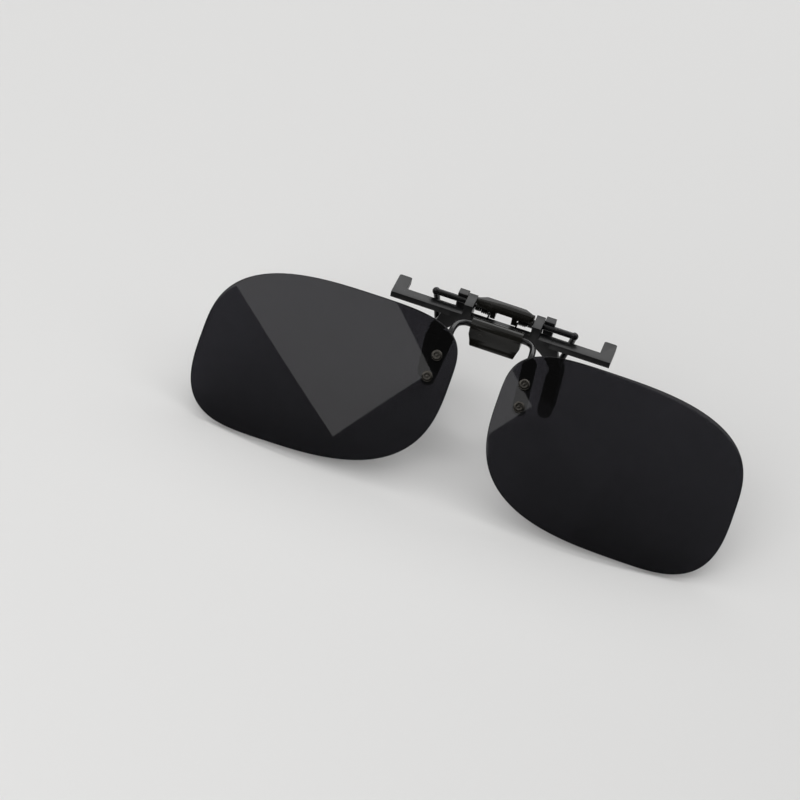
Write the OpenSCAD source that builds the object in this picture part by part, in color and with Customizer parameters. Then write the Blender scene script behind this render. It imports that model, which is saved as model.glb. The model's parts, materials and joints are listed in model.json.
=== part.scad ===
// Flip-up clip-on sunglasses: a small spring clamp that grips a pair of spectacles,
// and two rimless tinted lenses that hang from a wire hinge in front of it.
// X runs from left to right, -Y is the front and +Z is up. The origin is the middle
// of the jaw gap, level with the undersides of the two rest tabs.

/* [Lenses] */
// Width of one lens
lens_w = 59.3; // [56:0.1:62]
// Height of one lens
lens_h = 40.3; // [37:0.1:42]
// Thickness of a lens
lens_t = 1; // [0.8:0.05:1.2]
// Gap between the two lenses at the nose
lens_gap = 11.6; // [10.5:0.1:13]
// Radius of the lens's front sphere
lens_radius = 258; // [200:1:300]
// How far each lens is turned back at its outer side, in degrees
lens_wrap = 2.9; // [1.5:0.1:3.5]
// How far the lenses are flipped up from hanging straight down, in degrees
flip_rest = 47.6; // [0:0.1:90]

/* [Wire hinge] */
// Radius of the flip wire
wire_r = 0.75; // [0.7:0.01:0.8]
// Height of the lens centre below the flip axis
lens_drop = 21.6; // [21.2:0.1:22.5]
// Distance of the lens in front of the flip axis
lens_forward = 6.5; // [6.2:0.1:7]
// Half the width of the hinge housing at its barrel
housing_half_w = 6.2; // [5.8:0.1:6.4]
// Outer radius of the hinge barrel
barrel_r = 1.8; // [1.6:0.05:1.9]

/* [Blades and screws] */
// Width of the blade behind each lens
blade_w = 3.3; // [3:0.1:3.6]
// Thickness of a blade
blade_t = 0.8; // [0.7:0.05:0.9]
// Distance between the two screws of a lens
screw_pitch = 5.3; // [5:0.1:6]
// Radius of a screw head
head_r = 1.3; // [1.1:0.05:1.4]
// Radius of a screw's shank
shank_r = 0.7; // [0.6:0.01:0.72]

/* [Clamp] */
// Half the width over the two brow bars
bar_half_w = 27; // [24:0.1:29]
// Depth of a brow bar from front to back
bar_d = 2.7; // [2.4:0.1:2.9]
// Height of a brow bar
bar_h = 1.6; // [1.4:0.05:1.8]
// Width of a rest tab
tab_w = 3.1; // [2.4:0.1:3.4]
// Reach of a rest tab behind the front face
tab_reach = 7.3; // [6.5:0.1:9]
// Half the distance between the two posts
post_half_gap = 7.3; // [7:0.1:7.5]
// Depth of a post from front to back
post_d = 4.9; // [4.8:0.05:5.2]
// Height of a post above the brow bar
post_h = 3; // [2.9:0.05:3.2]

/* [Jaw legs] */
// Distance of a leg from the centre plane
leg_x = 15.1; // [14.9:0.1:15.5]
// Width of a rubber sleeve
sleeve_w = 3.7; // [3.4:0.1:4]
// Thickness of a rubber sleeve
sleeve_t = 2.6; // [2.4:0.05:2.8]
// Depth of the sleeves' round ends below the brow bar
leg_drop = 21.6; // [20:0.1:24]
// Gap between the front and the rear sleeves when the jaw is shut
jaw_gap = 0.35; // [0.3:0.01:0.6]

/* [Hidden] */
$fn = 48;

black = [0.05, 0.05, 0.055];
rubber_black = [0.03, 0.03, 0.03];
spring_steel = [0.45, 0.44, 0.42];
gun_metal = [0.33, 0.30, 0.26];
smoke = [0.15, 0.15, 0.17, 0.8];

// Running clearance of a shaft in its hole, and the gap beside the press plate
clearance = 0.05;
body_gap = 0.3;
eps = 0.01;

// The clamp is drawn from its own datum: the front top edge of the brow bars.
// Depth is measured back from the front face, height up from the bars' top.
plate_t = 1.2;
rest_step = 0.15;
front_y = -(plate_t / 2 + sleeve_t / 2 + jaw_gap / 2);
bar_top = bar_h + rest_step;
seam_x = 12.3;
post_w = 2.1;

// Jaw axle, from the clamp's datum
axle_y = 3.4;
axle_z = 1.55;

// Flip axis, from the clamp's datum
flip_y = -3;
flip_z = 0.6;

// Lens centre and screws, from the flip axis with the lenses hanging down
lens_x = lens_gap / 2 + lens_w / 2;
screw_top_x = 10.6;
screw_top_drop = 10.6;
blade_lean = 5.6;
blade_front = -lens_forward + lens_t + 0.68;

module clamp_datum() {
    translate([0, front_y, bar_top]) children();
}

// Everything on the lens frame turns about the flip axis
module flipped() {
    clamp_datum() translate([0, flip_y, flip_z]) rotate([-flip_rest, 0, 0]) children();
}

// Right-hand pieces are drawn as they are, left-hand ones are their mirror image
module side(s) {
    if (s > 0) children();
    else mirror([1, 0, 0]) children();
}

// An outline in X and Z, extruded from depth y0 to depth y1
module front_plate(y0, y1) {
    translate([0, y1, 0]) rotate([90, 0, 0]) linear_extrude(y1 - y0) children();
}

// A profile in Y and Z, extruded from x0 to x1
module side_plate(x0, x1) {
    translate([x0, 0, 0]) rotate([90, 0, 90]) linear_extrude(x1 - x0) children();
}

module x_rod(x0, x1, r) {
    translate([x0, 0, 0]) rotate([0, 90, 0]) cylinder(h = x1 - x0, r = r);
}

// ---- Curves ----

function spline_point(a, b, c, d, t) =
    0.5 * (2 * b + (c - a) * t + (2 * a - 5 * b + 4 * c - d) * t * t
        + (3 * b - a - 3 * c + d) * t * t * t);

// Rounded corner from start to end about its centre, without the end point
function corner_arc(centre, start, end, fullness, steps) = [
    for (k = [0 : steps - 1])
        let (t = 90 * k / steps,
             reach = pow(pow(cos(t), fullness) + pow(sin(t), fullness), -1 / fullness))
            centre + reach * (cos(t) * (start - centre) + sin(t) * (end - centre))
];

// Open smooth curve through the points; the first and last ones only set its direction
function open_spline(points, steps) = [
    for (i = [1 : len(points) - 3], k = [0 : steps - 1])
        spline_point(points[i - 1], points[i], points[i + 1], points[i + 2], k / steps),
    points[len(points) - 2]
];

function unit(v) = v / norm(v);

function tangent(path, i) =
    unit(path[min(i + 1, len(path) - 1)] - path[max(i - 1, 0)]);

// One ring of a tube around point i; ref is never along the path
function ring(path, i, r, sides, ref) =
    let (t = tangent(path, i), u = unit(cross(t, ref)), v = cross(t, u))
    [for (k = [0 : sides - 1]) path[i] + r * (cos(360 * k / sides) * u + sin(360 * k / sides) * v)];

module tube_along(path, r, sides, ref) {
    rings = len(path);
    points = [for (i = [0 : rings - 1]) each ring(path, i, r, sides, ref)];
    walls = [
        for (i = [0 : rings - 2], k = [0 : sides - 1])
            let (m = (k + 1) % sides)
            [i * sides + k, (i + 1) * sides + k, (i + 1) * sides + m, i * sides + m]
    ];
    first = [for (k = [0 : sides - 1]) k];
    last = [for (k = [sides - 1 : -1 : 0]) (rings - 1) * sides + k];
    polyhedron(points = points, faces = concat(walls, [first], [last]));
}

// ---- Fixed clamp ----

// Front outline of a bracket: post, bar stub, curved neck and narrow leg
bracket_outline = [
    [post_half_gap, post_h], [post_half_gap + post_w, post_h], [post_half_gap + post_w, 0],
    [seam_x, 0], [seam_x, -bar_h], [14.2, -bar_h], [14.5, -1.9], [14.6, -2.4], [14.9, -3.4],
    [15.5, -4.6], [leg_x + 1.2, -6.2], [leg_x + 1.2, -leg_drop + 1.9],
    [leg_x - 1.2, -leg_drop + 1.9], [leg_x - 1.2, -8.6], [13.4, -7], [12.5, -5.7],
    [11.5, -4.6], [10.4, -3.6], [9.3, -2.8], [8.4, -2.2], [post_half_gap, -bar_h]
];

module bracket(s) {
    color(black) clamp_datum() side(s) difference() {
        union() {
            front_plate(0, plate_t) polygon(bracket_outline);
            front_plate(0, bar_d)
                translate([post_half_gap, -bar_h]) square([seam_x - post_half_gap, bar_h]);
            translate([post_half_gap, 0, -bar_h]) cube([post_w, post_d, post_h + bar_h]);
        }
        translate([0, axle_y, axle_z])
            x_rod(post_half_gap - 1, post_half_gap + post_w + 1, wire_r + clearance);
        // Slope under the back of the post
        side_plate(post_half_gap - 1, post_half_gap + post_w + 1)
            polygon([[bar_d, -bar_h - eps], [post_d + eps, -bar_h - eps], [post_d + eps, 0.2]]);
    }
}

// Brow bar: the bar, and the rest tab turned back at its outer end
module brow_bar(s) {
    corner = 0.5;
    tab_x = bar_half_w - tab_w;
    color(black) clamp_datum() side(s) {
        translate([seam_x, 0, -bar_h]) cube([bar_half_w - seam_x, bar_d, bar_h]);
        translate([tab_x, bar_d, -bar_h - rest_step])
            cube([tab_w, tab_reach - bar_d - corner, bar_h + rest_step]);
        translate([tab_x + corner, bar_d, -bar_h - rest_step])
            cube([tab_w - 2 * corner, tab_reach - bar_d, bar_h + rest_step]);
        for (x = [tab_x + corner, bar_half_w - corner])
            translate([x, tab_reach - corner, -bar_h - rest_step])
                cylinder(h = bar_h + rest_step, r = corner);
    }
}

bridge_d = 1.5;
bridge_top = 0.3;

module bridge() {
    color(black) clamp_datum()
        translate([-post_half_gap, 0, -bar_h])
            cube([2 * post_half_gap, bridge_d, bar_h + bridge_top]);
}

// Depth and height of the finger flap's section, from the front of the barrel:
// a hollow front face, and a lip along the lower edge
flap_section = [
    [0.03, flip_z], [0.1, -0.3], [0.2, -1.1], [0.2, -1.9], [0.1, -2.6], [-0.12, -3.1],
    [-0.34, -3.45], [-0.38, -3.8], [-0.2, -4.08], [0.1, -4.15], [0.7, -4.1], [1, -3.7],
    [1.15, -2.6], [1.2, flip_z]
];

// Barrel around the flip wire, finger flap hanging from its front, web back to the bridge
module hinge_housing() {
    flap_bottom = -4.3;
    flap_half_w = 5.2;
    color(black) clamp_datum() difference() {
        union() {
            translate([0, flip_y, flip_z]) x_rod(-housing_half_w, housing_half_w, barrel_r);
            intersection() {
                front_plate(flip_y - barrel_r - 1, flip_y)
                    polygon([[-housing_half_w, 1], [housing_half_w, 1], [housing_half_w, -1.2],
                        [flap_half_w, flap_bottom], [-flap_half_w, flap_bottom],
                        [-housing_half_w, -1.2]]);
                translate([0, flip_y - barrel_r, 0])
                    side_plate(-housing_half_w - 1, housing_half_w + 1) polygon(flap_section);
            }
            translate([-5, flip_y, -1.3]) cube([10, -flip_y, 1.3]);
        }
        translate([0, flip_y, flip_z])
            x_rod(-housing_half_w - 1, housing_half_w + 1, wire_r + clearance);
    }
}

// Sleeve with a round lower end and a tapered top, drawn around the leg's own axis
module sleeve_shell(top, bottom) {
    flat = (sleeve_w - sleeve_t) / 2;
    intersection() {
        translate([0, 0, bottom]) linear_extrude(top - bottom) union() {
            for (x = [-flat, flat]) translate([x, 0]) circle(d = sleeve_t);
            square([2 * flat, sleeve_t], center = true);
        }
        front_plate(-sleeve_t, sleeve_t) union() {
            translate([0, bottom + sleeve_w / 2]) circle(d = sleeve_w);
            polygon([[-sleeve_w / 2, bottom + sleeve_w / 2], [sleeve_w / 2, bottom + sleeve_w / 2],
                [sleeve_w / 2, top - 2], [sleeve_w / 2 - 0.35, top], [-sleeve_w / 2 + 0.35, top],
                [-sleeve_w / 2, top - 2]]);
        }
    }
}

sleeve_top = -8.3;

module front_sleeve(s) {
    color(rubber_black) clamp_datum() side(s) difference() {
        translate([leg_x, plate_t / 2, 0]) sleeve_shell(sleeve_top, -leg_drop);
        front_plate(0, plate_t)
            translate([leg_x - 1.2, -leg_drop + 1.9]) square([2.4, leg_drop]);
    }
}

// ---- Rear jaw, turning on the two jaw wires ----

knuckle_r = 1.4;
inner_ear_x = 2;
inner_ear_w = 1.2;
outer_ear_w = 1;
plate_half_w = post_half_gap - body_gap;
wire_end_x = 1.9;

// Pad, front skirt and four ears of the press plate; the inner ears have a stop toe below
module press_plate() {
    pad_back = 3.15;
    color(black) clamp_datum() difference() {
        union() {
            side_plate(-plate_half_w, plate_half_w)
                polygon([[1, 2.8], [1, 3.85], [1.5, 4.5], [pad_back, 4.85], [pad_back, 3.95], [1.9, 3.7],
                    [1.9, 2.8]]);
            for (s = [-1, 1]) side(s) {
                press_ear(inner_ear_x, inner_ear_x + inner_ear_w);
                side_plate(inner_ear_x, inner_ear_x + inner_ear_w)
                    polygon([[1.95, 0.1], [3, -0.25], [4.3, 1], [2.2, 1.7]]);
                press_ear(plate_half_w - outer_ear_w, plate_half_w);
            }
        }
        translate([0, axle_y, axle_z]) x_rod(-plate_half_w - 1, plate_half_w + 1, wire_r);
        // Cut-off corners of the pad: long ones behind, short ones in front
        for (s = [-1, 1]) side(s)
            translate([0, 0, 3.3]) linear_extrude(2) {
                polygon([[4.7, pad_back + eps], [plate_half_w + eps, pad_back + eps],
                    [plate_half_w + eps, 2.1]]);
                polygon([[6, 1 - eps], [plate_half_w + eps, 1 - eps], [plate_half_w + eps, 1.6]]);
            }
    }
}

module press_ear(x0, x1) {
    side_plate(x0, x1) union() {
        translate([axle_y, axle_z]) circle(r = knuckle_r);
        polygon([[1.5, 3.75], [2.15, 2.2], [4.6, 2.2], [3, 4.2]]);
    }
}

elbow = [17.05, axle_y, axle_z];
toe = [leg_x, plate_t / 2 + sleeve_t + jaw_gap, -leg_drop + 1.9];

// Route of a rear leg: out of the elbow, behind the brow bar and straight down the sleeve
leg_route = [
    elbow + [0, -0.5, 1.5], elbow, [16.7, 4, -0.6], [16.3, 4.15, -3], [15.7, 3.9, -5.5],
    [leg_x, toe[1], -8], [leg_x, toe[1], -10], toe, toe + [0, 0, -3]
];

module jaw_wire_solid() {
    translate([0, axle_y, axle_z]) x_rod(wire_end_x, elbow[0], wire_r);
    translate(elbow) sphere(r = wire_r + 0.2);
    tube_along(open_spline(leg_route, 3), wire_r, 16, [0, 1, 0]);
}

module jaw_wire(s) {
    color(black) clamp_datum() side(s) jaw_wire_solid();
}

// Upright block brazed to the back of each jaw wire beside its post
module hub(s) {
    hub_gap = 0.12;
    hub_x = post_half_gap + post_w + hub_gap;
    color(black) clamp_datum() side(s) side_plate(hub_x, hub_x + 2.4) difference() {
        translate([3.6, -1.3]) square([2.1, 4.3]);
        translate([axle_y, axle_z]) circle(r = wire_r);
    }
}

module rear_sleeve(s) {
    color(rubber_black) clamp_datum() side(s) difference() {
        translate([toe[0], toe[1], 0]) sleeve_shell(sleeve_top, -leg_drop);
        translate(toe) cylinder(h = leg_drop, r = wire_r);
    }
}

// ---- Torsion springs ----

// Coil around the jaw wire, one leg on the bridge and the other under the pad
spring_wire_r = 0.22;
coil_r = 1.4;
coil_x = 3.45;
coil_pitch = 0.46;
coil_turns = 5;
coil_steps = 14;

spring_path = concat(
    [[coil_x, 0.9 - axle_y, bridge_top + spring_wire_r + 0.03 - axle_z]],
    [for (i = [0 : coil_turns * coil_steps])
        let (a = 205 + 360 * i / coil_steps)
        [coil_x + coil_pitch * i / coil_steps, coil_r * cos(a), coil_r * sin(a)]],
    [[coil_x + coil_turns * coil_pitch, 2.3 - axle_y, 3.45 - axle_z]]
);

module spring(s) {
    color(spring_steel) clamp_datum() side(s)
        translate([0, axle_y, axle_z]) tube_along(spring_path, spring_wire_r, 8, [1, 0, 0]);
}

// ---- Lens frame, drawn around the flip axis with the lenses hanging down ----

// Route of one wire arm from the barrel's end to the top of its blade
arm_route = [[5.6, 0, 0], [6.6, 0, 0], [8, -0.2, -0.2], [9.2, -1.3, -1.1], [9.65, -2.9, -2.7],
    [9.75, -3.8, -4.4], [9.9, -4.05, -6.4], [10.05, -4.05, -8]];

module flip_wire() {
    color(black) flipped() {
        x_rod(-6.7, 6.7, wire_r);
        for (s = [-1, 1]) side(s)
            tube_along(open_spline(arm_route, 4), wire_r, 16, [0, 1, -1]);
    }
}

// Moves to the blade's own frame: the upper screw's axis, +Z up along the blade
module on_blade(s) {
    flipped() side(s) translate([screw_top_x, 0, -screw_top_drop])
        rotate([0, -blade_lean, 0]) children();
}

module blade(s) {
    top = 6.4;
    bottom = -screw_pitch - 0.1;
    color(black) on_blade(s) difference() {
        front_plate(blade_front, blade_front + blade_t) union() {
            translate([-blade_w / 2, bottom]) square([blade_w, top - bottom - 1]);
            translate([0, bottom]) circle(d = blade_w);
            polygon([[-blade_w / 2, top - 1], [blade_w / 2, top - 1],
                [blade_w / 2 - 0.6, top], [-blade_w / 2 + 0.6, top]]);
        }
        for (z = [0, -screw_pitch])
            translate([0, blade_front - 1, z]) screw_hole(blade_t + 2);
    }
}

// Hole along Y, a little wider than a screw's shank
module screw_hole(length) {
    rotate([-90, 0, 0]) cylinder(h = length, r = shank_r + clearance);
}

// The right lens's highest, outermost, lowest and innermost points, as shares of
// its width (outward) and height (down), and how full the corner after each is:
// 2 is an ellipse, more is squarer
lens_extremes = [[0.4, 0], [1, 0.5], [0.64, 1], [0, 0.35]];
lens_fullness = [2.9, 3.2, 2.9, 3.6];

lens_outline = [
    for (i = [0 : 3])
        let (p = lens_extremes[i], q = lens_extremes[(i + 1) % 4],
             centre = i % 2 == 0 ? [p[0], q[1]] : [q[0], p[1]])
            for (c = corner_arc(centre, p, q, lens_fullness[i], 20))
                [(c[0] - 0.5) * lens_w, (0.5 - c[1]) * lens_h]
];

module lens(s) {
    color(smoke) difference() {
        flipped() side(s) translate([lens_x, -lens_forward, -lens_drop]) rotate([0, 0, lens_wrap])
            intersection() {
                front_plate(-2, 8) polygon(lens_outline);
                translate([0, lens_radius, 0]) difference() {
                    sphere(r = lens_radius);
                    sphere(r = lens_radius - lens_t);
                }
            }
        for (z = [0, -screw_pitch])
            on_blade(s) translate([0, -lens_forward - 2, z]) screw_hole(5);
    }
}

// Domed screw with a small round dimple in its head
module screw(s, z) {
    head_h = 0.7;
    head_back = -lens_forward - 0.1;
    dome_r = (head_r * head_r + head_h * head_h) / (2 * head_h);
    color(gun_metal) on_blade(s) translate([0, head_back, z]) difference() {
        union() {
            rotate([-90, 0, 0]) cylinder(h = blade_front - head_back + blade_t + 0.9, r = shank_r);
            intersection() {
                translate([0, dome_r - head_h, 0]) sphere(r = dome_r);
                rotate([90, 0, 0]) cylinder(h = head_h + 1, r = head_r);
            }
        }
        translate([0, -head_h + 0.35, 0]) rotate([90, 0, 0]) cylinder(h = 1, r = 0.4);
    }
}

module nut(s, z) {
    color(gun_metal) on_blade(s) translate([0, blade_front + blade_t, z]) rotate([-90, 0, 0])
        difference() {
            cylinder(h = 0.8, r = 1.2, $fn = 6);
            translate([0, 0, -1]) cylinder(h = 3, r = shank_r);
        }
}

bracket(-1);  // left_bracket
bracket(1);  // right_bracket
brow_bar(-1);  // left_brow_bar
brow_bar(1);  // right_brow_bar
bridge();
hinge_housing();
front_sleeve(-1);  // left_front_sleeve
front_sleeve(1);  // right_front_sleeve
press_plate();
jaw_wire(-1);  // left_jaw_wire
jaw_wire(1);  // right_jaw_wire
hub(-1);  // left_hub
hub(1);  // right_hub
rear_sleeve(-1);  // left_rear_sleeve
rear_sleeve(1);  // right_rear_sleeve
spring(-1);  // left_spring
spring(1);  // right_spring
flip_wire();
blade(-1);  // left_blade
blade(1);  // right_blade
lens(-1);  // left_lens
lens(1);  // right_lens
screw(-1, 0);  // left_screw_upper
screw(-1, -screw_pitch);  // left_screw_lower
screw(1, 0);  // right_screw_upper
screw(1, -screw_pitch);  // right_screw_lower
nut(-1, 0);  // left_nut_upper
nut(-1, -screw_pitch);  // left_nut_lower
nut(1, 0);  // right_nut_upper
nut(1, -screw_pitch);  // right_nut_lower
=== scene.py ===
"""Flip-up clip-on sunglasses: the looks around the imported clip.

Each sub-assembly (clamp, rear jaw, springs, lens frame, studio) is a class that
shapes its pieces and dresses them in its own finishes. Lengths are in metres in
the clip's own frame: X left to right, -Y front, +Z up.
"""

import json
import logging
import math
from dataclasses import dataclass
from enum import Enum

import bmesh
import bpy
from mathutils import Matrix, Vector

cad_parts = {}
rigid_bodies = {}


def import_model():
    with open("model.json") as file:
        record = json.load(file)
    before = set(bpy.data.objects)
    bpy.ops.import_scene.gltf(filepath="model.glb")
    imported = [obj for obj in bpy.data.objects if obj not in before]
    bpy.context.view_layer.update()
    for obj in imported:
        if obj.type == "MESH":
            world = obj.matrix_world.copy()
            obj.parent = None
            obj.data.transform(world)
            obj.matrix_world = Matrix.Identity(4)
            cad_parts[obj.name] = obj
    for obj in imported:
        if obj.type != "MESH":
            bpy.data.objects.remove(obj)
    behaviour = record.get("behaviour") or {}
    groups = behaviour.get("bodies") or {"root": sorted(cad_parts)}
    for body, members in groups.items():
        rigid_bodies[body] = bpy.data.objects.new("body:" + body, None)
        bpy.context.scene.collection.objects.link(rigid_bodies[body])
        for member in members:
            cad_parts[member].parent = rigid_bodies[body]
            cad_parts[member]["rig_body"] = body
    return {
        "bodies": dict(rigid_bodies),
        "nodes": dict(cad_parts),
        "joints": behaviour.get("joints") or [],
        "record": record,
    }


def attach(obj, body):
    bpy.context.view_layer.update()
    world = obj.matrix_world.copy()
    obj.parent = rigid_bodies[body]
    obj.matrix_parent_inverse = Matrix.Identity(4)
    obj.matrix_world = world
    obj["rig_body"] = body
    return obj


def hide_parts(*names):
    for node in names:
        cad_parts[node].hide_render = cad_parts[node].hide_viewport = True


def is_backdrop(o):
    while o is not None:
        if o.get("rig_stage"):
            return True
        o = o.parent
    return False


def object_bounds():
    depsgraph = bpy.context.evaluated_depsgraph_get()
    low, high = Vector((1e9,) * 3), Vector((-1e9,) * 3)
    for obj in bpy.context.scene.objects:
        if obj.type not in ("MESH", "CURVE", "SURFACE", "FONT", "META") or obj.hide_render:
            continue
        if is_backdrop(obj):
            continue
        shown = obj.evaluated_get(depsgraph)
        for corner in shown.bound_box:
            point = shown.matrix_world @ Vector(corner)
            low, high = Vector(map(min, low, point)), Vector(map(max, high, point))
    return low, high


log = logging.getLogger("clip_on")
MM = 0.001
DUST_COLOR = (0.42, 0.41, 0.39, 1.0)
COAT_ROUGHNESS = 0.12


class Side(Enum):
    """Which half of the clip a piece belongs to."""

    LEFT = -1
    RIGHT = 1

    @property
    def word(self) -> str:
        """The word that piece names start with."""
        return self.name.lower()


class Slot(Enum):
    """The record's material slots."""

    BLACK_METAL = "black_metal"
    GLOSS_BLACK = "gloss_black"
    BLACK_WIRE = "black_wire"
    RUBBER = "rubber"
    SPRING_STEEL = "spring_steel"
    SCREW_METAL = "screw_metal"
    SMOKE_LENS = "smoke_lens"


# ---------------------------------------------------------------- node helpers


class NodeSheet:
    """A node tree with short calls for adding and joining nodes."""

    def __init__(self, tree: bpy.types.NodeTree) -> None:
        """Wraps a tree.

        Args:
            tree: the node tree that the calls add to.
        """
        self.tree = tree

    def add(self, kind: str, values: dict | None = None, **settings: object) -> bpy.types.Node:
        """Adds one node.

        Args:
            kind: the node's type name, without its ShaderNode prefix.
            values: input name or index to its constant value.
            settings: properties of the node itself.

        Returns:
            The new node.
        """
        node = self.tree.nodes.new("ShaderNode" + kind)
        for name, value in settings.items():
            setattr(node, name, value)
        for name, value in (values or {}).items():
            node.inputs[name].default_value = value
        return node

    def join(self, source: bpy.types.NodeSocket, target: bpy.types.NodeSocket) -> None:
        """Joins an output to an input."""
        self.tree.links.new(source, target)

    def math(self, operation: str, a: object, b: object = 0.5, clamp: bool = False) -> bpy.types.NodeSocket:
        """Adds a Math node whose inputs are sockets or numbers.

        Args:
            operation: the Math node's operation.
            a: first input, a socket or a number.
            b: second input, a socket or a number.
            clamp: whether the result stays between 0 and 1.

        Returns:
            The node's output socket.
        """
        node = self.add("Math", operation=operation, use_clamp=clamp)
        for slot_index, value in enumerate((a, b)):
            if isinstance(value, bpy.types.NodeSocket):
                self.join(value, node.inputs[slot_index])
            else:
                node.inputs[slot_index].default_value = value
        return node.outputs[0]

    def remap(self, value: bpy.types.NodeSocket, low: float, high: float,
              to_low: float = 0.0, to_high: float = 1.0) -> bpy.types.NodeSocket:
        """Stretches a value's range and clamps it.

        Args:
            value: the socket to stretch.
            low: the value that becomes to_low.
            high: the value that becomes to_high.
            to_low: result at low.
            to_high: result at high.

        Returns:
            The stretched value's socket.
        """
        node = self.add("MapRange", {"From Min": low, "From Max": high, "To Min": to_low, "To Max": to_high})
        self.join(value, node.inputs["Value"])
        return node.outputs["Result"]


class SharedEffects:
    """The shader node groups that several finishes use."""

    @staticmethod
    def _group(name: str, inputs: dict[str, float],
               outputs: tuple[str, ...]) -> tuple[NodeSheet, bpy.types.Node, bpy.types.Node]:
        """Starts a node group with float sockets.

        Args:
            name: the group's name.
            inputs: input name to its default.
            outputs: names of the value outputs.

        Returns:
            The group's sheet, its input node and its output node.
        """
        tree = bpy.data.node_groups.new(name, "ShaderNodeTree")
        tree.interface.new_socket("Vector", in_out="INPUT", socket_type="NodeSocketVector")
        for label, value in inputs.items():
            socket = tree.interface.new_socket(label, in_out="INPUT", socket_type="NodeSocketFloat")
            socket.default_value = value
        for label in outputs:
            tree.interface.new_socket(label, in_out="OUTPUT", socket_type="NodeSocketFloat")
        return NodeSheet(tree), tree.nodes.new("NodeGroupInput"), tree.nodes.new("NodeGroupOutput")

    @classmethod
    def grain(cls) -> bpy.types.NodeTree:
        """Fine grain with a slower mottle: Height for a bump, Tone for colour and gloss."""
        if "fine_grain" in bpy.data.node_groups:
            return bpy.data.node_groups["fine_grain"]
        sheet, given, result = cls._group("fine_grain", {"Scale": 3000.0, "Mottle": 0.4}, ("Height", "Tone"))
        fine = sheet.add("TexNoise", {"Detail": 4.0, "Roughness": 0.65})
        slow = sheet.add("TexNoise", {"Detail": 3.0, "Roughness": 0.5, "Distortion": 0.4})
        sheet.join(given.outputs["Vector"], fine.inputs["Vector"])
        sheet.join(given.outputs["Vector"], slow.inputs["Vector"])
        sheet.join(given.outputs["Scale"], fine.inputs["Scale"])
        sheet.join(sheet.math("MULTIPLY", given.outputs["Scale"], 0.08), slow.inputs["Scale"])
        sheet.join(fine.outputs[0], result.inputs["Height"])
        slow_part = sheet.math("MULTIPLY", sheet.remap(slow.outputs[0], 0.35, 0.65), given.outputs["Mottle"])
        fine_part = sheet.math("MULTIPLY", sheet.remap(fine.outputs[0], 0.35, 0.65),
                               sheet.math("SUBTRACT", 1.0, given.outputs["Mottle"]))
        sheet.join(sheet.math("ADD", slow_part, fine_part, clamp=True), result.inputs["Tone"])
        return sheet.tree

    @classmethod
    def dust(cls) -> bpy.types.NodeTree:
        """Sparse specks that lie mostly on faces that look up."""
        if "settled_dust" in bpy.data.node_groups:
            return bpy.data.node_groups["settled_dust"]
        sheet, given, result = cls._group("settled_dust", {"Scale": 1400.0, "Amount": 0.3}, ("Mask",))
        cells = sheet.add("TexVoronoi", {"Randomness": 1.0})
        patches = sheet.add("TexNoise", {"Scale": 120.0, "Detail": 2.0})
        sheet.join(given.outputs["Vector"], cells.inputs["Vector"])
        sheet.join(given.outputs["Vector"], patches.inputs["Vector"])
        sheet.join(given.outputs["Scale"], cells.inputs["Scale"])
        specks = sheet.remap(cells.outputs["Distance"], 0.05, 0.16, 1.0, 0.0)
        colour = sheet.add("SeparateColor")
        sheet.join(cells.outputs["Color"], colour.inputs[0])
        chosen = sheet.math("GREATER_THAN", colour.outputs[0], 0.62)
        facing = sheet.add("SeparateXYZ")
        sheet.join(sheet.add("NewGeometry").outputs["Normal"], facing.inputs[0])
        upward = sheet.remap(facing.outputs["Z"], -0.1, 0.9, 0.15, 1.0)
        patch = sheet.remap(patches.outputs[0], 0.42, 0.62)
        thinned = sheet.math("MULTIPLY", specks, chosen)
        mask = sheet.math("MULTIPLY", thinned, sheet.math("MULTIPLY", upward, patch))
        sheet.join(sheet.math("MULTIPLY", mask, given.outputs["Amount"], clamp=True), result.inputs["Mask"])
        return sheet.tree

    @classmethod
    def scuffs(cls) -> bpy.types.NodeTree:
        """Short hairline marks in several directions."""
        if "hair_scuffs" in bpy.data.node_groups:
            return bpy.data.node_groups["hair_scuffs"]
        sheet, given, result = cls._group("hair_scuffs", {"Scale": 260.0, "Amount": 0.3}, ("Mask",))
        total = None
        for turn in (18.0, 77.0, 139.0):
            lie = (math.radians(turn), math.radians(turn * 0.7), math.radians(turn))
            place = sheet.add("Mapping", {"Rotation": lie, "Scale": (1.0, 14.0, 1.0)})
            streak = sheet.add("TexNoise", {"Detail": 1.0, "Roughness": 0.3})
            sheet.join(given.outputs["Vector"], place.inputs["Vector"])
            sheet.join(place.outputs[0], streak.inputs["Vector"])
            sheet.join(given.outputs["Scale"], streak.inputs["Scale"])
            line = sheet.remap(streak.outputs[0], 0.70, 0.76)
            total = line if total is None else sheet.math("MAXIMUM", total, line)
        sheet.join(sheet.math("MULTIPLY", total, given.outputs["Amount"], clamp=True), result.inputs["Mask"])
        return sheet.tree


# -------------------------------------------------------------------- finishes


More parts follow.
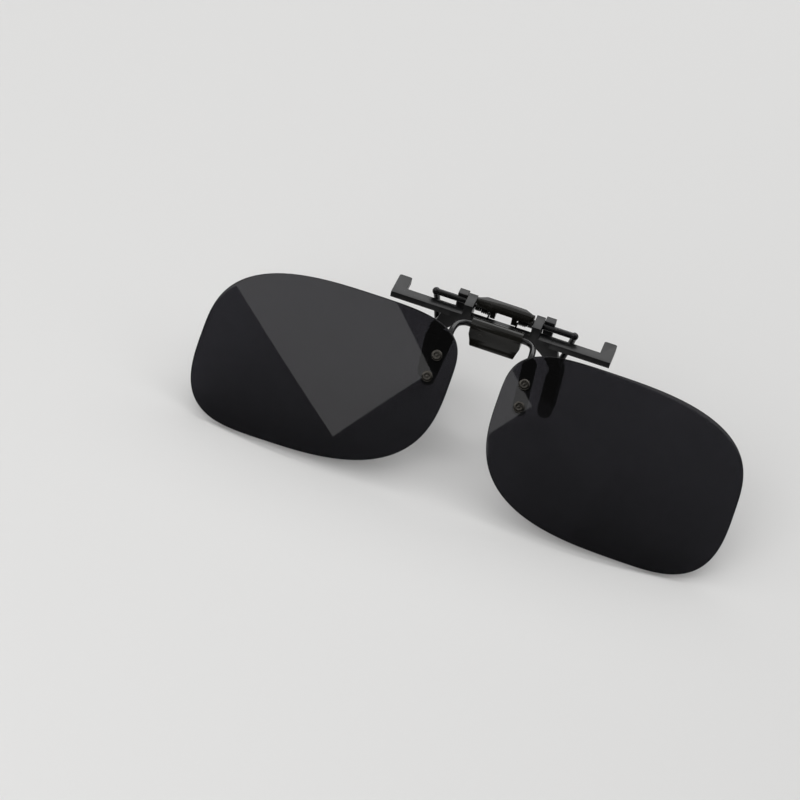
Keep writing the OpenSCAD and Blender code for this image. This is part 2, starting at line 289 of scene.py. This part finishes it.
@dataclass(frozen=True)
class Finish:
    """What every finish has.

    Attributes:
        name: the material's name.
        slot: the record's material slot; not used.
        color: linear base colour.
        roughness: mean roughness.
        grain_scale: how fine the grain is, per metre.
        grain_depth: height of the grain in metres.
        dust: how much settled dust shows.
        scuffs: how much the hairline marks show.
        metallic: 1 for bare metal, 0 for anything else.
        coat: weight of the clear coat.
        specular: strength of the reflection.
    """

    name: str
    slot: Slot
    color: tuple[float, float, float]
    roughness: float
    grain_scale: float = 3000.0
    grain_depth: float = 0.000004
    dust: float = 0.25
    scuffs: float = 0.2
    metallic: float = 0.0
    coat: float = 0.0
    specular: float = 0.5

    def _start(self) -> tuple[bpy.types.Material, NodeSheet, bpy.types.Node, bpy.types.NodeSocket]:
        """Makes the material with an empty sheet, its Principled node and object coordinates."""
        material = bpy.data.materials.new(self.name)
        material.use_nodes = True
        sheet = NodeSheet(material.node_tree)
        sheet.tree.nodes.clear()
        shader = sheet.add("BsdfPrincipled")
        sheet.join(shader.outputs[0], sheet.add("OutputMaterial").inputs["Surface"])
        return material, sheet, shader, sheet.add("TexCoord").outputs["Object"]

    @staticmethod
    def _effect(sheet: NodeSheet, tree: bpy.types.NodeTree, where: bpy.types.NodeSocket,
                **values: float) -> bpy.types.Node:
        """Places a shared node group.

        Args:
            sheet: the material's sheet.
            tree: the shared group.
            where: the coordinates it reads.
            values: the group's own values in this finish.

        Returns:
            The group node.
        """
        node = sheet.add("Group", node_tree=tree)
        sheet.join(where, node.inputs["Vector"])
        for label, value in values.items():
            node.inputs[label].default_value = value
        return node

    def material(self) -> bpy.types.Material:
        """Builds the material, or returns the one already built.

        Returns:
            The finished material.
        """
        if self.name in bpy.data.materials:
            return bpy.data.materials[self.name]
        material, sheet, shader, where = self._start()
        shader.inputs["Coat Roughness"].default_value = COAT_ROUGHNESS
        shader.inputs["Coat Weight"].default_value = self.coat
        shader.inputs["Metallic"].default_value = self.metallic
        shader.inputs["Specular IOR Level"].default_value = self.specular
        grain = self._effect(sheet, SharedEffects.grain(), where, Scale=self.grain_scale, Mottle=0.45)
        dust = self._effect(sheet, SharedEffects.dust(), where, Scale=1500.0, Amount=self.dust)
        scuffs = self._effect(sheet, SharedEffects.scuffs(), where, Scale=240.0, Amount=self.scuffs)
        tone = sheet.add("Mix", data_type="RGBA")
        tone.inputs["A"].default_value = (*[c * 0.86 for c in self.color], 1.0)
        tone.inputs["B"].default_value = (*[min(1.0, c * 1.18 + 0.001) for c in self.color], 1.0)
        sheet.join(grain.outputs["Tone"], tone.inputs["Factor"])
        worn = sheet.add("Mix", data_type="RGBA")
        worn.inputs["B"].default_value = (*[min(1.0, c * 2.2 + 0.03) for c in self.color], 1.0)
        sheet.join(tone.outputs["Result"], worn.inputs["A"])
        sheet.join(scuffs.outputs["Mask"], worn.inputs["Factor"])
        dusty = sheet.add("Mix", data_type="RGBA")
        dusty.inputs["B"].default_value = DUST_COLOR
        sheet.join(worn.outputs["Result"], dusty.inputs["A"])
        sheet.join(dust.outputs["Mask"], dusty.inputs["Factor"])
        sheet.join(dusty.outputs["Result"], shader.inputs["Base Color"])
        smoothest, roughest = self.roughness * 0.88, min(1.0, self.roughness * 1.14)
        rough = sheet.remap(grain.outputs["Tone"], 0.0, 1.0, smoothest, roughest)
        rough = sheet.math("ADD", rough, sheet.math("MULTIPLY", dust.outputs["Mask"], 0.5), clamp=True)
        sheet.join(rough, shader.inputs["Roughness"])
        bump = sheet.add("Bump", {"Strength": 1.0, "Distance": self.grain_depth})
        cut = sheet.math("MULTIPLY", scuffs.outputs["Mask"], 0.8)
        height = sheet.math("SUBTRACT", grain.outputs["Height"], cut)
        sheet.join(height, bump.inputs["Height"])
        sheet.join(bump.outputs["Normal"], shader.inputs["Normal"])
        return material


@dataclass(frozen=True)
class TintedLens(Finish):
    """Smoke lens: clear to look through, with faint smears on its gloss.

    Attributes:
        ior: refractive index of the lens.
    """

    ior: float = 1.5

    def material(self) -> bpy.types.Material:
        """Builds the lens material, or returns the one already built.

        Returns:
            The finished material.
        """
        if self.name in bpy.data.materials:
            return bpy.data.materials[self.name]
        material, sheet, shader, where = self._start()
        shader.inputs["Transmission Weight"].default_value = 1.0
        shader.inputs["IOR"].default_value = self.ior
        smears = self._effect(sheet, SharedEffects.grain(), where, Scale=self.grain_scale, Mottle=0.9)
        dust = self._effect(sheet, SharedEffects.dust(), where, Scale=1100.0, Amount=self.dust)
        tint = sheet.add("Mix", data_type="RGBA")
        tint.inputs["A"].default_value = (*self.color, 1.0)
        tint.inputs["B"].default_value = (*[c * 1.12 for c in self.color], 1.0)
        sheet.join(smears.outputs["Tone"], tint.inputs["Factor"])
        sheet.join(tint.outputs["Result"], shader.inputs["Base Color"])
        rough = sheet.remap(smears.outputs["Tone"], 0.3, 0.9, self.roughness, self.roughness * 2.5)
        rough = sheet.math("ADD", rough, sheet.math("MULTIPLY", dust.outputs["Mask"], 0.4), clamp=True)
        sheet.join(rough, shader.inputs["Roughness"])
        return material


BLACK_COAT = Finish("satin_black_coat", Slot.BLACK_METAL, (0.0065, 0.0065, 0.007), 0.38, 4200.0, 0.0000035,
                    specular=0.36)
GLOSS_COAT = Finish("gloss_black_coat", Slot.GLOSS_BLACK, (0.0075, 0.007, 0.0055), 0.17, 2600.0, 0.000002,
                    coat=0.05, specular=0.3)
WIRE_COAT = Finish("black_spring_wire", Slot.BLACK_WIRE, (0.005, 0.005, 0.0055), 0.2, 5200.0, 0.000002,
                   specular=0.4)
RUBBER = Finish("matt_black_rubber", Slot.RUBBER, (0.010, 0.010, 0.0105), 0.72, 6500.0, 0.000006,
                dust=0.35, scuffs=0.05, specular=0.35)
SPRING = Finish("dark_spring_steel", Slot.SPRING_STEEL, (0.06, 0.058, 0.054), 0.3, 5200.0, 0.000002,
                metallic=1.0, dust=0.1)
GUN_METAL = Finish("gun_metal_screw", Slot.SCREW_METAL, (0.075, 0.07, 0.062), 0.2, 6000.0, 0.000002,
                   metallic=1.0, dust=0.1, scuffs=0.35)
SMOKE = TintedLens("smoke_lens_tint", Slot.SMOKE_LENS, (0.0225, 0.0222, 0.0262), 0.012, 420.0, dust=0.05)
# Lens rim faces: dull, and near-black as painted shade for the thin dark outline round the lens.
DULL_EDGE_PAINTED_SHADE = Finish("ground_lens_edge", Slot.SMOKE_LENS, (0.004, 0.004, 0.0045), 0.5, 5200.0, 0.000003,
                     dust=0.03, scuffs=0.05, specular=0.15)


# ------------------------------------------------------------- modelling tools


class Bench:
    """The hand tools: every change to a mesh goes through one of these."""

    @staticmethod
    def clear() -> None:
        """Deselects everything, in object mode."""
        if bpy.context.mode != "OBJECT":
            bpy.ops.object.mode_set(mode="OBJECT")
        bpy.ops.object.select_all(action="DESELECT")

    @classmethod
    def pick(cls, piece: bpy.types.Object) -> None:
        """Makes a piece the only selected and active one.

        Args:
            piece: the piece to pick.
        """
        cls.clear()
        piece.select_set(True)
        bpy.context.view_layer.objects.active = piece

    @classmethod
    def edit(cls, piece: bpy.types.Object) -> bmesh.types.BMesh:
        """Opens a piece in edit mode with nothing selected.

        Args:
            piece: the mesh to open.

        Returns:
            The edit mesh.
        """
        cls.pick(piece)
        bpy.ops.object.mode_set(mode="EDIT")
        bpy.ops.mesh.select_mode(type="VERT")
        bpy.ops.mesh.select_all(action="DESELECT")
        return bmesh.from_edit_mesh(piece.data)

    @staticmethod
    def close(piece: bpy.types.Object) -> None:
        """Leaves edit mode.

        Args:
            piece: the piece that is being edited.
        """
        bmesh.update_edit_mesh(piece.data)
        bpy.ops.object.mode_set(mode="OBJECT")

    @classmethod
    def apply(cls, piece: bpy.types.Object, kind: str, **settings: object) -> None:
        """Adds a modifier and applies it.

        Args:
            piece: the piece to change.
            kind: the modifier's type.
            settings: the modifier's properties.
        """
        cls.pick(piece)
        modifier = piece.modifiers.new(kind.lower(), kind)
        for name, value in settings.items():
            setattr(modifier, name, value)
        bpy.ops.object.modifier_apply(modifier=modifier.name)

    @classmethod
    def settle(cls, piece: bpy.types.Object, place: Matrix) -> None:
        """Moves the mesh itself to its place, closes its normals and leaves the object at the origin.

        Args:
            piece: the piece to place.
            place: the mesh's transform into the clip's frame.
        """
        piece.data.transform(place)
        cls.edit(piece)
        bpy.ops.mesh.select_all(action="SELECT")
        bpy.ops.mesh.remove_doubles(threshold=1e-7)
        bpy.ops.mesh.normals_make_consistent(inside=False)
        cls.close(piece)

    @classmethod
    def smooth(cls, piece: bpy.types.Object, degrees: float = 32.0) -> None:
        """Shades a piece smooth across edges flatter than the angle.

        Args:
            piece: the piece to shade.
            degrees: edges that turn by more than this stay sharp.
        """
        cls.pick(piece)
        bpy.ops.object.shade_smooth_by_angle(angle=math.radians(degrees), keep_sharp_edges=False)


@dataclass
class PartMaker:
    """Turns a CAD node into a shown piece with rounded edges and a finish.

    Attributes:
    """

    frame: dict

    def dress(self, piece: bpy.types.Object, finish: Finish, body: str, *nodes: str) -> bpy.types.Object:
        """Gives a piece its finish, body and the nodes that it stands for.

        Args:
            piece: the new piece.
            finish: its finish.
            body: the CAD body that it rides on.
            nodes: the CAD nodes that it replaces.

        Returns:
            The piece.
        """
        piece.data.materials.clear()
        piece.data.materials.append(finish.material())
        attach(piece, body)
        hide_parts(*nodes)
        log.info("%s: %d faces, %s, rides on %s", piece.name, len(piece.data.polygons), finish.name, body)
        return piece

    def rounded(self, node: str, finish: Finish, edge: float, sharp: float = 30.0) -> bpy.types.Object:
        """Copies a CAD node and breaks its sharp edges, as tumbling and coating do.

        Args:
            node: the CAD node.
            finish: its finish.
            edge: how far each sharp edge is broken, in metres.
            sharp: edges that turn by more degrees than this are broken.

        Returns:
            The shown piece.
        """
        source = self.frame["nodes"][node]
        Bench.clear()
        piece = bpy.data.objects.new(node + "_piece", source.data.copy())
        bpy.context.scene.collection.objects.link(piece)
        if piece.data.has_custom_normals:
            Bench.pick(piece)
            bpy.ops.mesh.customdata_custom_splitnormals_clear()
        Bench.edit(piece)
        bpy.ops.mesh.select_all(action="SELECT")
        bpy.ops.mesh.remove_doubles(threshold=2e-6)
        bpy.ops.mesh.dissolve_limited(angle_limit=math.radians(0.6))
        bpy.ops.mesh.select_all(action="DESELECT")
        bpy.ops.mesh.select_mode(type="EDGE")
        bpy.ops.mesh.edges_select_sharp(sharpness=math.radians(sharp))
        if edge > 0:
            bpy.ops.mesh.bevel(offset=edge, segments=3, profile=0.5, clamp_overlap=True, affect="EDGES",
                               loop_slide=True)
        Bench.close(piece)
        Bench.smooth(piece)
        return self.dress(piece, finish, source["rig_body"], node)


# --------------------------------------------------------------- the clip-on


@dataclass
class Clamp:
    """The fixed clamp: brackets, brow bars, bridge, hinge housing and front sleeves.

    Attributes:
        maker: the part maker.
        edge: how far coated edges are broken.
    """

    maker: PartMaker
    edge: float = 0.11 * MM

    def build(self) -> None:
        """Builds every fixed piece."""
        for side in Side:
            self.maker.rounded(f"{side.word}_bracket", BLACK_COAT, self.edge)
            self.maker.rounded(f"{side.word}_brow_bar", BLACK_COAT, self.edge)
            self.maker.rounded(f"{side.word}_front_sleeve", RUBBER, 0.35 * MM)
        self.maker.rounded("bridge", BLACK_COAT, self.edge)
        self.maker.rounded("hinge_housing", GLOSS_COAT, 0.14 * MM)


@dataclass
class RearJaw:
    """The sprung jaw: press plate, jaw wires, hubs and rear sleeves.

    Attributes:
        maker: the part maker.
        edge: how far coated edges are broken.
    """

    maker: PartMaker
    edge: float = 0.12 * MM

    def build(self) -> None:
        """Builds every piece that turns about the jaw axle."""
        self.maker.rounded("press_plate", GLOSS_COAT, self.edge)
        for side in Side:
            self.maker.rounded(f"{side.word}_jaw_wire", WIRE_COAT, 0.0)
            self.maker.rounded(f"{side.word}_hub", BLACK_COAT, self.edge)
            self.maker.rounded(f"{side.word}_rear_sleeve", RUBBER, 0.35 * MM)


@dataclass
class Springs:
    """The two torsion springs around the jaw wires.

    Attributes:
        maker: the part maker.
    """

    maker: PartMaker

    def build(self) -> None:
        """Dresses both springs."""
        for side in Side:
            self.maker.rounded(f"{side.word}_spring", SPRING, 0.0, 60.0)


@dataclass
class LensFrame:
    """The flip-up half: wire, blades, lenses, screws and nuts.

    Attributes:
        maker: the part maker.
        flip_rest: how far the lenses are flipped up from hanging straight down, in degrees.
        lens_width: width of one lens.
        lens_height: height of one lens.
        lens_thickness: thickness of a lens.
        lens_radius: radius of the lens's front sphere.
        lens_gap: gap between the lenses at the nose.
        lens_forward: distance of the lens in front of the flip axis.
        lens_drop: height of the lens centre below the flip axis.
        wrap: how far each lens is turned back at its outer side, in degrees.
        screw_x: distance of an upper screw from the centre plane.
        screw_drop: distance of an upper screw below the flip axis.
        screw_pitch: distance between the two screws of a lens.
        blade_lean: how far a blade leans towards the nose at its top, in degrees.
        head_radius: radius of a screw head.
        head_height: height of a screw head.
        head_back: depth of a screw head's underside, from the flip axis.
        shank_radius: radius of a screw's shank.
        shank_length: length of a screw behind its head.
        extremes: the lens's highest, outermost, lowest and innermost points, as
            shares of its width (outward) and height (down).
        fullness: how full the corner after each is; 2 is an ellipse, more is squarer.
    """

    maker: PartMaker
    flip_rest: float = 47.6
    lens_width: float = 59.3 * MM
    lens_height: float = 40.3 * MM
    lens_thickness: float = 1.0 * MM
    lens_radius: float = 258 * MM
    lens_gap: float = 11.6 * MM
    lens_forward: float = 6.5 * MM
    lens_drop: float = 21.6 * MM
    wrap: float = 2.9
    screw_x: float = 10.6 * MM
    screw_drop: float = 10.6 * MM
    screw_pitch: float = 5.3 * MM
    blade_lean: float = 5.6
    head_radius: float = 1.3 * MM
    head_height: float = 0.6 * MM
    head_back: float = -6.6 * MM
    shank_radius: float = 0.7 * MM
    shank_length: float = 3.38 * MM
    extremes: tuple[tuple[float, float], ...] = ((0.4, 0), (1, 0.5), (0.64, 1), (0, 0.35))
    fullness: tuple[float, ...] = (2.9, 3.2, 2.9, 3.6)

    def flip_place(self) -> Matrix:
        """The transform from the hanging lens frame, around the flip axis, into the clip's frame."""
        joint = next(j for j in self.maker.frame["joints"] if j["name"] == "flip")
        flipped = Matrix.Rotation(math.radians(-self.flip_rest), 4, "X")
        return Matrix.Translation(Vector(joint["pos_m"])) @ flipped

    def outline(self, steps: int) -> list[tuple[float, float]]:
        """The lens outline: four rounded corners between its extreme points.

        Args:
            steps: points on each corner.

        Returns:
            X and Z of each point around the lens centre.
        """
        points = []
        for i, (start, fullness) in enumerate(zip(self.extremes, self.fullness)):
            end = self.extremes[(i + 1) % 4]
            centre = (start[0], end[1]) if i % 2 == 0 else (end[0], start[1])
            for k in range(steps):
                t = math.radians(90 * k / steps)
                reach = (math.cos(t) ** fullness + math.sin(t) ** fullness) ** (-1 / fullness)
                u, v = (c + reach * (math.cos(t) * (p - c) + math.sin(t) * (q - c))
                        for c, p, q in zip(centre, start, end))
                points.append(((u - 0.5) * self.lens_width, (0.5 - v) * self.lens_height))
        return points

    def lens(self, side: Side) -> bpy.types.Object:
        """Grinds one lens: a curved sheet with a round rim whose faces carry a dull near-black painted
        shade. The screws pass through it.

        Args:
            side: which lens.

        Returns:
            The finished lens.
        """
        rim = self.outline(40)
        Bench.clear()
        bpy.ops.mesh.primitive_circle_add(vertices=len(rim), radius=self.lens_width / 2, fill_type="NOTHING")
        piece = bpy.context.active_object
        piece.name = f"{side.word}_lens_piece"
        for vertex, (x, z) in zip(piece.data.vertices, rim):
            vertex.co = (x, 0.0, z)
        Bench.edit(piece)
        bpy.ops.mesh.select_all(action="SELECT")
        bpy.ops.mesh.fill_grid(span=len(rim) // 4 + 8, offset=12)
        Bench.close(piece)
        for vertex in piece.data.vertices:
            x, _, z = vertex.co
            vertex.co.y = self.lens_radius - math.sqrt(self.lens_radius ** 2 - x * x - z * z)
        Bench.edit(piece)
        bpy.ops.mesh.select_all(action="SELECT")
        bpy.ops.mesh.normals_make_consistent(inside=False)
        bpy.ops.mesh.select_all(action="DESELECT")
        Bench.close(piece)
        forward = sum(p.normal.y for p in piece.data.polygons) < 0
        Bench.apply(piece, "SOLIDIFY", thickness=self.lens_thickness, offset=-1.0 if forward else 1.0)
        Bench.apply(piece, "BEVEL", width=0.2 * MM, segments=3, limit_method="ANGLE",
                    angle_limit=math.radians(50), use_clamp_overlap=False)
        mirror = Matrix.Diagonal((side.value, 1, 1, 1))
        middle = ((self.lens_gap + self.lens_width) / 2, -self.lens_forward, -self.lens_drop)
        place = (self.flip_place() @ mirror @ Matrix.Translation(middle)
                 @ Matrix.Rotation(math.radians(self.wrap), 4, "Z"))
        Bench.settle(piece, place)
        Bench.smooth(piece, 25.0)
        self.maker.dress(piece, SMOKE, "lens_frame", f"{side.word}_lens")
        # The rim and bevel faces take the near-black edge colour: painted shade for the lens's dark outline.
        piece.data.materials.append(DULL_EDGE_PAINTED_SHADE.material())
        axis = (place.to_3x3() @ Vector((0, 1, 0))).normalized()
        for face in piece.data.polygons:
            face.material_index = 1 if abs(face.normal.dot(axis)) < 0.9 else 0
        return piece

    def screw(self, side: Side, place: str, drop: float) -> bpy.types.Object:
        """Turns one pan-head screw: rounded rim, dished face and a round driver recess.

        Args:
            side: which lens it holds.
            place: upper or lower.
            drop: distance of its axis below the upper screw.

        Returns:
            The finished screw.
        """
        to_hinge = (self.flip_place() @ Matrix.Diagonal((side.value, 1, 1, 1))
                    @ Matrix.Translation((self.screw_x, 0, -self.screw_drop))
                    @ Matrix.Rotation(math.radians(-self.blade_lean), 4, "Y"))
        head, shank = self.head_height, self.shank_length
        Bench.clear()
        bpy.ops.mesh.primitive_cylinder_add(vertices=48, radius=self.head_radius, depth=head,
                                            end_fill_type="NGON", rotation=(math.radians(90), 0, 0),
                                            location=(0, self.head_back - head / 2, 0))
        piece = bpy.context.active_object
        piece.name = f"{side.word}_screw_{place}_piece"
        bpy.ops.object.transform_apply(location=True, rotation=True, scale=True)
        for front in (True, False):
            mesh = Bench.edit(piece)
            bpy.ops.mesh.select_mode(type="FACE")
            end = min if front else max
            chosen = end(mesh.faces, key=lambda face: face.calc_center_median().y)
            chosen.select = True
            mesh.faces.active = chosen
            bmesh.update_edit_mesh(piece.data)
            if front:
                bpy.ops.mesh.inset(thickness=self.head_radius * 0.3, depth=0.12 * MM)
                bpy.ops.mesh.inset(thickness=self.head_radius * 0.25, depth=0.0)
                bpy.ops.mesh.inset(thickness=self.head_radius * 0.08, depth=-0.3 * MM)
                bpy.ops.mesh.inset(thickness=self.head_radius * 0.15, depth=0.08 * MM)
            else:
                bpy.ops.mesh.inset(thickness=self.head_radius - self.shank_radius, depth=0.0)
                bpy.ops.mesh.extrude_region_move(TRANSFORM_OT_translate={"value": (0, shank - 0.15 * MM, 0)})
                bpy.ops.mesh.extrude_region_move(TRANSFORM_OT_translate={"value": (0, 0.15 * MM, 0)})
                bpy.ops.transform.resize(value=(0.75, 1, 0.75), center_override=(0, 0, 0))
            Bench.close(piece)
        Bench.apply(piece, "BEVEL", width=0.22 * MM, segments=4, limit_method="ANGLE",
                    angle_limit=math.radians(60), use_clamp_overlap=True)
        Bench.settle(piece, to_hinge @ Matrix.Translation((0, 0, -drop)))
        Bench.smooth(piece, 40.0)
        return piece

    def build(self) -> None:
        """Builds every piece that flips with the lenses."""
        for side in Side:
            self.lens(side)
            self.maker.rounded(f"{side.word}_blade", BLACK_COAT, 0.12 * MM)
            for place, drop in (("upper", 0.0), ("lower", self.screw_pitch)):
                screw = self.screw(side, place, drop)
                self.maker.dress(screw, GUN_METAL, "lens_frame", f"{side.word}_screw_{place}")
                self.maker.rounded(f"{side.word}_nut_{place}", GUN_METAL, 0.08 * MM)
        self.maker.rounded("flip_wire", WIRE_COAT, 0.0)


# -------------------------------------------------------------------- studio


@dataclass
class Studio:
    """Pale floor, soft lights and the camera.

    Attributes:
        azimuth: camera's bearing round the clip, in degrees.
        elevation: camera's height above the horizon, in degrees.
        roll: camera's tilt about its own axis, in degrees.
        aim: the point in the middle of the picture.
        distance: camera's distance from aim.
        focal: focal length in millimetres on a 36 mm sensor.
        pale: linear colour of the floor.
        floor_gap: gap between the clip's lowest point and the floor.
        room: brightness of the dim room.
    """

    azimuth: float = 9.7
    elevation: float = 40.3
    roll: float = 12.3
    aim: tuple[float, float, float] = (-17.2 * MM, -15.0 * MM, -18.2 * MM)
    distance: float = 611 * MM
    focal: float = 117.0
    pale: tuple[float, float, float] = (0.76, 0.757, 0.75)
    floor_gap: float = 0.05 * MM
    room: float = 0.075

    def camera(self) -> None:
        """Places the camera."""
        a, e = math.radians(self.azimuth), math.radians(self.elevation)
        back = Vector((math.sin(a) * math.cos(e), -math.cos(a) * math.cos(e), math.sin(e)))
        data = bpy.data.cameras.new("camera")
        data.sensor_width, data.lens = 36.0, self.focal
        data.clip_start, data.clip_end = 0.01, 60.0
        camera = bpy.data.objects.new("camera", data)
        bpy.context.scene.collection.objects.link(camera)
        turn = (-back).to_track_quat("-Z", "Y").to_matrix().to_4x4()
        turn = turn @ Matrix.Rotation(math.radians(self.roll), 4, "Z")
        camera.matrix_world = Matrix.Translation(Vector(self.aim) + back * self.distance) @ turn
        bpy.context.scene.camera = camera

    def floor(self, height: float) -> None:
        """Lays the plain pale floor.

        Args:
            height: Z of the floor.
        """
        Bench.clear()
        bpy.ops.mesh.primitive_circle_add(vertices=96, radius=8.0, fill_type="NGON", location=(0, 0, height))
        floor = bpy.context.active_object
        floor.name = "floor"
        material = bpy.data.materials.new("pale_floor")
        material.use_nodes = True
        shader = material.node_tree.nodes["Principled BSDF"]
        shader.inputs["Base Color"].default_value = (*self.pale, 1.0)
        shader.inputs["Roughness"].default_value = 0.9
        shader.inputs["Specular IOR Level"].default_value = 0.1
        floor.data.materials.append(material)
        floor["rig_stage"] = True

    @staticmethod
    def hung(bearing: float, height: float, distance: float) -> Matrix:
        """The place of a lamp or card that faces the clip.

        Args:
            bearing: its azimuth, in degrees.
            height: its elevation, in degrees.
            distance: metres from the clip.

        Returns:
            Its transform.
        """
        a, e = math.radians(bearing), math.radians(height)
        out = Vector((math.sin(a) * math.cos(e), -math.cos(a) * math.cos(e), math.sin(e)))
        return Matrix.Translation(out * distance) @ (-out).to_track_quat("-Z", "Y").to_matrix().to_4x4()

    def softbox(self, name: str, bearing: float, height: float, distance: float,
                size: tuple[float, float], radiance: float, mirrored: bool = True) -> None:
        """Hangs one soft light that looks at the clip.

        Args:
            name: the light's name.
            bearing: its azimuth, in degrees.
            height: its elevation, in degrees.
            distance: metres from the clip.
            size: width and height in metres.
            radiance: brightness of its face.
            mirrored: whether glossy surfaces show it.
        """
        data = bpy.data.lights.new(name, "AREA")
        data.shape, data.size, data.size_y = "RECTANGLE", *size
        data.energy = radiance * math.pi * size[0] * size[1]
        lamp = bpy.data.objects.new(name, data)
        bpy.context.scene.collection.objects.link(lamp)
        lamp.matrix_world = self.hung(bearing, height, distance)
        lamp.visible_camera = False
        lamp.visible_glossy = mirrored

    def card(self, name: str, bearing: float, height: float, distance: float,
             size: tuple[float, float], radiance: float) -> None:
        """Hangs one plain lit card that only glossy surfaces show.

        Args:
            name: the card's name.
            bearing: its azimuth, in degrees.
            height: its elevation, in degrees.
            distance: metres from the clip.
            size: width and height in metres.
            radiance: brightness of its face.
        """
        Bench.clear()
        bpy.ops.mesh.primitive_plane_add(size=1.0)
        card = bpy.context.active_object
        card.name = name
        card.scale = (*size, 1.0)
        bpy.ops.object.transform_apply(location=False, rotation=False, scale=True)
        card.matrix_world = self.hung(bearing, height, distance)
        material = bpy.data.materials.new(name)
        material.use_nodes = True
        sheet = NodeSheet(material.node_tree)
        sheet.tree.nodes.clear()
        glow = sheet.add("Emission", {"Color": (1.0, 1.0, 1.0, 1.0), "Strength": radiance})
        sheet.join(glow.outputs[0], sheet.add("OutputMaterial").inputs["Surface"])
        card.data.materials.append(material)
        card.visible_camera = card.visible_diffuse = card.visible_shadow = card.visible_transmission = False
        card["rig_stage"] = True

    def world(self) -> None:
        """Fills the room with very dim light."""
        world = bpy.data.worlds.new("room")
        world.use_nodes = True
        world.node_tree.nodes["Background"].inputs["Color"].default_value = (1.0, 1.0, 1.0, 1.0)
        world.node_tree.nodes["Background"].inputs["Strength"].default_value = self.room
        bpy.context.scene.world = world
        bpy.context.scene.view_settings.view_transform = "Standard"

    def build(self, lowest: float) -> None:
        """Builds the whole studio.

        Args:
            lowest: Z of the clip's lowest point.
        """
        self.world()
        self.floor(lowest - self.floor_gap)
        self.softbox("overhead", 180.0, 82.0, 1.6, (2.2, 1.7), 0.65)
        self.softbox("back_box", 175.0, 42.0, 1.7, (2.4, 1.0), 2.7)
        self.softbox("left_box", -95.0, 36.0, 1.5, (1.4, 1.1), 0.95)
        self.softbox("right_box", 100.0, 35.0, 1.5, (1.3, 1.0), 0.7)
        self.softbox("floor_wash", -25.0, 36.0, 0.6, (0.5, 0.5), 1.65, mirrored=False)
        self.card("bright_card", -50.0, 50.0, 0.2, (0.18, 0.08), 1.0)
        self.camera()


def main() -> None:
    """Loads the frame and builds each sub-assembly in order."""
    logging.basicConfig(level=logging.INFO, format="%(name)s %(message)s")
    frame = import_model()
    cad_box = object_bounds()
    maker = PartMaker(frame)
    for assembly in (Clamp(maker), RearJaw(maker), Springs(maker), LensFrame(maker)):
        log.info("building %s", type(assembly).__name__)
        assembly.build()
    Studio().build(cad_box[0].z)


if __name__ == "__main__":
    main()
